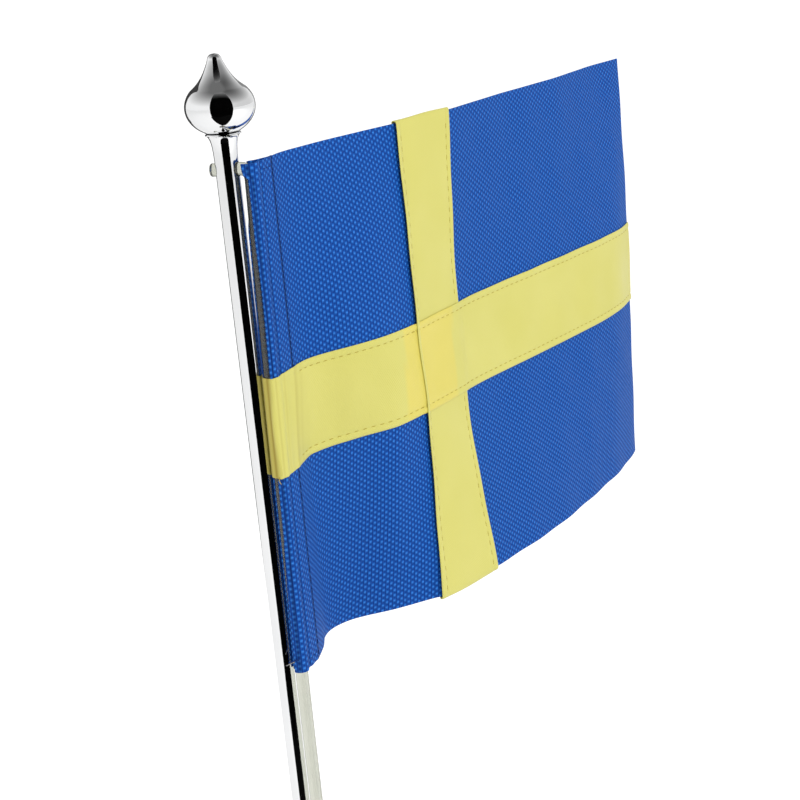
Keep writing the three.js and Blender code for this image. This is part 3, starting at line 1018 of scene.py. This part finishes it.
def makeUprightRibbon():
    hoist = flag["hoist"]
    ups = runs(0, hoist, 1.6)
    grid, uvs = [], []
    for across in acrossSpots():
        along = flag["uprightFrom"] + across
        lift = ribbonRise + ribbonLift(across, ribbon["edgeLift"])
        backLift = ribbonRise + ribbonLift(across)
        swell = ribbon["swell"] + 0.12 * math.sin(across * 0.27 + 4)
        front = [panelSpot(along, up) - panelNormal(along, up) * lift for up in ups]
        back = [panelSpot(along, up) + panelNormal(along, up) * backLift for up in reversed(ups)]
        topNormal, footNormal = panelNormal(along, hoist), panelNormal(along, 0)
        overTop, underFoot = [], []
        for k in range(1, 6):
            angle = math.pi * k / 6
            shift = -math.cos(angle)
            overTop.append(panelSpot(along, hoist) + topNormal * shift * (lift if shift < 0 else backLift)
                           + np.array([0, 0, swell * 0.9 * math.sin(angle)]))
            underFoot.append(panelSpot(along, 0) - footNormal * shift * (backLift if shift < 0 else lift)
                             - np.array([0, 0, swell * math.sin(angle)]))
        row = front + overTop + back + underFoot
        grid.append(row)
        lengths = runLength(row, 3)
        uvs.append([(across, length) for length in lengths + [lengths[-1] + 1.0]])
    piece = gridPiece("uprightRibbon", grid, uvs, closedRows=True)
    thicken(piece, flag["ribbonThickness"])
    setDoubledAndLoopShade(piece, lambda u: 0.0)
    smooth(piece, 60)
    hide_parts("ribbon_upright")
    return finishPiece(piece, "uprightRibbon", yellowSatin, None)


def crossingLift(along):
    # the level ribbon climbs over the upright one
    start = flag["uprightFrom"]
    end = start + flag["ribbonWidth"]
    return (ribbon["crossing"] * ease(along, start - 1.2, start + 0.2)
            * (1 - ease(along, end - 0.2, end + 1.2)))


loopSettings = {
    "frontSteps": 20,
    "backSteps": 16,
    # round the rod: angle and radius, and which of these wander and stand out in folds
    "round": [(-90, 2.12), (-104, 2.08), (-116, 2.12), (-128, 2.3), (-138, 2.46), (-146, 2.46),
              (-155, 2.24), (-164, 1.9), (-172, 1.8), (-181, 1.77), (-195, 1.77), (-210, 1.77),
              (-225, 1.77), (-240, 1.8), (-252, 1.94), (-262, 2.1), (-268, 2.12)],
    "wandering": (4, 5, 6),
    "folded": (4, 5),
    # painted shade along each fold line and over the ribbon round the back of the rod, by column from the
    # panel's first one
    "paintedCreaseShades": {-2: 0.1, 0: 0.25, 1: 0.12, 12: 0.12, 13: 0.18, 22: 0.25, 26: 0.3, 27: 0.85, 28: 0.95,
                29: 0.55, **{column: 0.4 for column in range(30, 37)}},
}


def loopRow(across, up):
    # over the sleeve's front, round the rod and back over the sleeve
    count, behind = loopSettings["frontSteps"], loopSettings["backSteps"]
    lift = 0.33 + ribbonLift(across) * 0.3
    row = [sleeveSpot(0.02 + 0.98 * k / count, up, -1, lift, "ribbon") for k in range(count)]
    fold = 0.12 + 0.1 * math.sin(across * 0.75)
    wander = 5 * math.sin(across * 0.3 + 1)
    for k, (degrees, radius) in enumerate(loopSettings["round"]):
        degrees += wander if k in loopSettings["wandering"] else 0
        radius += fold if k in loopSettings["folded"] else 0
        row.append(noseSpot(degrees, up, radius))
    return row + [sleeveSpot(1 - k / behind, up, 1, 0.28 + 0.22 * (k / behind)) for k in range(behind)]


def makeLevelRibbon():
    panel, width = flag["panel"], flag["ribbonWidth"]
    alongs = runs(2.0, panel, 1.5)
    grid, uvs = [], []
    for across in acrossSpots():
        up = flag["levelFrom"] + across
        lift = ribbonRise + ribbonLift(across)
        row = [panelSpot(along, up) - panelNormal(along, up) * (lift + crossingLift(along))
               for along in reversed(alongs)]
        row += loopRow(across, up)
        for along in alongs:
            extra = 0.24 * (1 - ease(along, 2.2, 4.5))
            row.append(panelSpot(along, up) + panelNormal(along, up) * (lift + crossingLift(along) + extra))
        bulge = 0.5 + 0.5 * math.sin(min(1.0, (width - across) / 16) * math.pi / 2)
        normal = panelNormal(panel - 1, up)
        outward = np.array([normal[1], -normal[0], 0])
        for k in range(1, 6):
            angle = math.pi * k / 6
            row.append(panelSpot(panel, up) + normal * lift * math.cos(angle)
                       + outward * bulge * math.sin(angle))
        grid.append(row)
        lengths = runLength(row)
        uvs.append([(panel - length, up) for length in lengths] + [(panel - lengths[-1] - 0.5, up)])
    # painted shade on the level ribbon's folds and round the back of the rod
    paintedCreaseShades = {len(alongs) + column: value for column, value in loopSettings["paintedCreaseShades"].items()}
    piece = gridPiece("levelRibbon", grid, uvs, closedRows=True, paintedCreaseShades=paintedCreaseShades)
    thicken(piece, flag["ribbonThickness"])
    low, high = flag["uprightFrom"], flag["uprightFrom"] + width
    # painted shade: warm tint where u is below zero, over the loop round the rod and the back face; a real
    # warmer colour where the ribbons cross
    setDoubledAndLoopShade(piece, lambda u: max(0.8 - 0.8 * ease(u, -2.0, 2.0),
                                    ease(u, low - 0.3, low + 0.3) * (1 - ease(u, high - 0.3, high + 0.3))))
    smooth(piece, 60)
    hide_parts("ribbon_level", "sleeve_ribbon")
    return finishPiece(piece, "levelRibbon", yellowSatin, None)


uprightRibbon = makeUprightRibbon()
levelRibbon = makeLevelRibbon()
print("ribbons made")


# one small stitch of thread is repeated along each seam
stitch = {
    "pitch": 2.6,
    "length": 1.75,
    "radius": 0.12,
    "sides": 6,
    "inset": 1.75,          # from the ribbon's edges
    # along the stitch: share of its length, share of its radius, height over the surface
    "rings": [(0.0, 0.45, -0.16), (0.15, 0.9, -0.03), (0.5, 1.0, 0.02), (0.85, 0.9, -0.03),
              (1.0, 0.45, -0.16)],
    "seamRises": ((-1, 0.27), (1, 0.64)),
    "hemLift": 0.2,
}


def stitchRow(name, stitches, material):
    # each stitch is its two ends and the outward way of the surface it lies on
    vertices, faces = [], []
    sides, rings = stitch["sides"], stitch["rings"]
    for a, b, out in stitches:
        direction = (b - a) / np.linalg.norm(b - a)
        other = np.cross(direction, out)
        faces += tubeFaces(len(vertices), len(rings), sides)
        for t, size, sink in rings:
            middle = a + (b - a) * t + out * sink
            for k in range(sides):
                angle = 2 * math.pi * k / sides
                outwards = other * math.cos(angle) + out * math.sin(angle)
                vertices.append(toWorld(middle + outwards * stitch["radius"] * size))
    piece = meshPiece(name, vertices, faces)
    makeActive(piece)
    bpy.ops.object.mode_set(mode="EDIT")
    outwardNormals()
    smooth(piece, 60)
    piece.data.materials.append(material)
    return piece


def stitchPairs(low, high):
    pitch = stitch["pitch"]
    count = int((high - low) / pitch)
    return [(low + k * pitch, low + k * pitch + stitch["length"]) for k in range(count)]


def underLevel(up):
    low = flag["levelFrom"]
    return low - 2 < up < low + flag["ribbonWidth"]


def upStitch(along, low, high, normal, rise):
    return panelSpot(along, low) + normal * rise, panelSpot(along, high) + normal * rise, normal


def makeStitches():
    hoist = flag["hoist"]
    inset = stitch["inset"]
    halfRibbon = flag["ribbonThickness"] / 2
    ups = [pair for pair in stitchPairs(1.0, hoist - 1.0) if not underLevel(pair[0])]
    uprightOnes, levelOnes, seamOnes = [], [], []
    for across in (inset, flag["ribbonWidth"] - inset):
        along = flag["uprightFrom"] + across
        up = flag["levelFrom"] + across
        for side in (-1, 1):
            edgeLift = ribbon["edgeLift"] if side < 0 else 0.0
            rise = ribbonRise + ribbonLift(across, edgeLift) + halfRibbon
            uprightOnes += [upStitch(along, low, high, panelNormal(along, low) * side, rise)
                            for low, high in ups]
            for pair in stitchPairs(3.0, flag["panel"] - 1.0):
                rises = [ribbonRise + ribbonLift(across) + crossingLift(spot) + halfRibbon for spot in pair]
                ends = [panelSpot(spot, up) + panelNormal(spot, up) * side * lift
                        for spot, lift in zip(pair, rises)]
                levelOnes.append((*ends, panelNormal(pair[0], up) * side))
    for side, rise in stitch["seamRises"]:
        for low, high in stitchPairs(0.8, hoist - 0.8):
            if not underLevel(low):
                seamOnes.append(upStitch(0.0, low, high, panelNormal(0.4, low) * side, rise))
    for up in (hoist - 2.0, 2.0):
        for k in range(3):
            share = 0.08 + k * 0.2
            ends = [sleeveSpot(spot, up, -1, stitch["hemLift"]) for spot in (share, share + 0.15)]
            seamOnes.append((*ends, np.array([0.0, -1.0, 0.0])))
    return (stitchRow("uprightStitches", uprightOnes, yellowThread),
            stitchRow("levelStitches", levelOnes, yellowThread),
            stitchRow("seamStitches", seamOnes, blueThread))


uprightStitches, levelStitches, seamStitches = makeStitches()
print("stitches made")


# loose thread ends hang at the sleeve's lower corner and at the ribbon's loop
def looseThread(name, start, steps, radius, material):
    points = [Vector(toWorld(p)) for p in catmull([start + np.array(step) for step in steps], 5)]
    radii = [radius * mm * (1.0 - 0.5 * k / len(points)) for k in range(len(points))]
    piece = tubeMesh(name, points, radii, 7)
    smooth(piece, 60)
    return finishPiece(piece, name, material, "sleeve")


def makeThreads():
    nose = noseSpot(-160, 3.2, 1.98)
    foot = noseSpot(-152, flag["levelFrom"] + 0.3, 2.3)
    blue = [(0.5, -0.1, 0.1), (-0.3, 0.0, 0.15), (-0.8, 0.6, 0.1), (-1.2, 1.2, -0.1), (-1.5, 1.7, -0.15)]
    grey = [(-0.7, 0.5, -0.15), (-1.1, 1.1, -0.3), (-1.5, 1.8, -0.7), (-1.9, 2.3, -0.9)]
    yellow = [(0, 0, 0), (-0.5, -0.3, -0.7), (-0.2, -0.5, -1.5)]
    return [looseThread("threadEndBlue", nose, blue, 0.2, blueThread),
            looseThread("threadEndGrey", nose, grey, 0.22, greyThread),
            looseThread("threadEndYellow", foot, yellow, 0.12, yellowThread)]


threads = makeThreads()
print("thread ends made")


def crossSeam(piece):
    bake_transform(piece)


finishPiece(cloth, "clothWoven", blueCloth, None)
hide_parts("flag_sleeve", "flag_panel")
for softPiece in (cloth, levelRibbon, levelStitches, seamStitches):
    crossSeam(softPiece)
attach(uprightRibbon, "flag")
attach(uprightStitches, "flag")


def stageMaterial(name, low, high):
    material, tree, shader = newMaterial(name)
    setSockets(tree, shader, {
        "Base Color": mixColour(tree, noiseOf(tree, objectPlace(tree), 3.0), low, high),
        "Roughness": 0.9,
        "Specular IOR Level": 0.1,
    })
    return material


def stagePlane(name, size, place, turn, material):
    deselectAll()
    bpy.ops.mesh.primitive_plane_add(size=1)
    plane = bpy.context.object
    plane.scale = (size[0], size[1], 1)
    plane.location = place
    plane.rotation_euler = turn
    bpy.ops.object.transform_apply(location=True, rotation=True, scale=True)
    plane.name = name
    plane.data.materials.append(material)
    return plane


def makeFloorMaterial():
    # a backdrop that stays white to the lens
    material = stageMaterial("paleFloor", (0.9, 0.9, 0.9, 1), (0.93, 0.93, 0.93, 1))
    tree = material.node_tree
    seen = addNode(tree, "ShaderNodeLightPath").outputs["Is Camera Ray"]
    setSockets(tree, tree.nodes["Principled BSDF"], {
        "Emission Color": (1, 1, 1, 1),
        "Emission Strength": calc(tree, "MULTIPLY", seen, 0.2),
    })
    return material


def makeWallMaterial():
    # black, fading to grey towards its top
    material, tree, shader = newMaterial("fadingCard")
    place = addNode(tree, "ShaderNodeSeparateXYZ", {0: objectPlace(tree)})
    fade = rangeOf(tree, place.outputs[2], 1.0, 2.6)
    setSockets(tree, shader, {
        "Base Color": mixColour(tree, fade, (0.001, 0.001, 0.001, 1), (0.25, 0.25, 0.25, 1)),
        "Roughness": 0.9,
        "Specular IOR Level": 0.0,
    })
    return material


paleFloor = makeFloorMaterial()
fadingCard = makeWallMaterial()
blackCard = stageMaterial("blackCard", (0.001, 0.001, 0.001, 1), (0.002, 0.002, 0.002, 1))
darkCard = stageMaterial("darkCard", (0.03, 0.03, 0.03, 1), (0.05, 0.05, 0.05, 1))
greyCard = stageMaterial("greyCard", (0.2, 0.2, 0.2, 1), (0.24, 0.24, 0.24, 1))

lying = (0, 0, 0)
standing = (math.pi / 2, 0, 0)
cardSettings = {
    "frontWall": {"size": (0.8, 2.6), "place": (0.12, -0.5, 1.3), "material": fadingCard},
    "behindLeft": {"size": (0.62, 1.2), "place": (-0.31, 0.7, 0.6), "material": darkCard},
    "behindRight": {"size": (0.3, 1.2), "place": (0.15, 0.7, 0.6), "material": greyCard},
}
# widens from the stand towards the front wall
groundSettings = {
    "corners": [(-0.31, -0.5), (0.52, -0.5), (0.0, -0.045), (0.06, -0.045)],
    "height": 0.002,
}


def hideCard(card):
    # only the chrome sees it
    card.visible_camera = False
    card.visible_diffuse = False
    card.visible_shadow = False
    card.visible_transmission = False


stagePlane("floor", (30, 30), (0, 0, 0), lying, paleFloor)
for name, card in cardSettings.items():
    hideCard(stagePlane(name, card["size"], card["place"], standing, card["material"]))
ground = stagePlane("groundCard", (1, 1), (0, 0, 0), lying, blackCard)
for vertex, (x, y) in zip(ground.data.vertices, groundSettings["corners"]):
    vertex.co = (x, y, groundSettings["height"])
hideCard(ground)

lightSettings = {
    "keyLight": {"power": 11.0, "place": (1.1, -0.9, 1.25), "aim": (0.05, 0.05, 0.3)},
    "fillLight": {"power": 0.6, "place": (-1.2, -0.5, 0.9), "aim": (0.0, 0.05, 0.3)},
}
lightSize = 0.9


def areaLight(name, power, place, aim):
    data = bpy.data.lights.new(name, "AREA")
    data.shape = "RECTANGLE"
    data.size = data.size_y = lightSize
    data.energy = power
    light = linkObject(name, data)
    light.location = place
    light.visible_glossy = False
    light.rotation_euler = (Vector(aim) - Vector(place)).to_track_quat("-Z", "Y").to_euler()


for name, light in lightSettings.items():
    areaLight(name, **light)


def makeWorld():
    # even white light; the chrome sees it darken overhead and a little to the right
    world = bpy.data.worlds.new("studio")
    bpy.context.scene.world = world
    world.use_nodes = True
    tree = world.node_tree
    generated = addNode(tree, "ShaderNodeTexCoord").outputs["Generated"]
    way = addNode(tree, "ShaderNodeSeparateXYZ", {0: generated})
    overhead = rangeOf(tree, way.outputs[2], 0.25, 0.95, 0.0, 0.85)
    aside = rangeOf(tree, way.outputs[0], 0.15, 0.9, 0.0, 0.3)
    shade = calc(tree, "MINIMUM", calc(tree, "ADD", overhead, aside), 0.93)
    mirrored = addNode(tree, "ShaderNodeLightPath").outputs["Is Glossy Ray"]
    amount = calc(tree, "MULTIPLY", shade, mirrored)
    setSockets(tree, tree.nodes["Background"], {
        "Color": mixColour(tree, amount, (1, 1, 1, 1), (0.02, 0.02, 0.02, 1)),
        "Strength": 1.0,
    })


makeWorld()
bpy.context.scene.view_settings.view_transform = "Standard"
print("stage and light made")
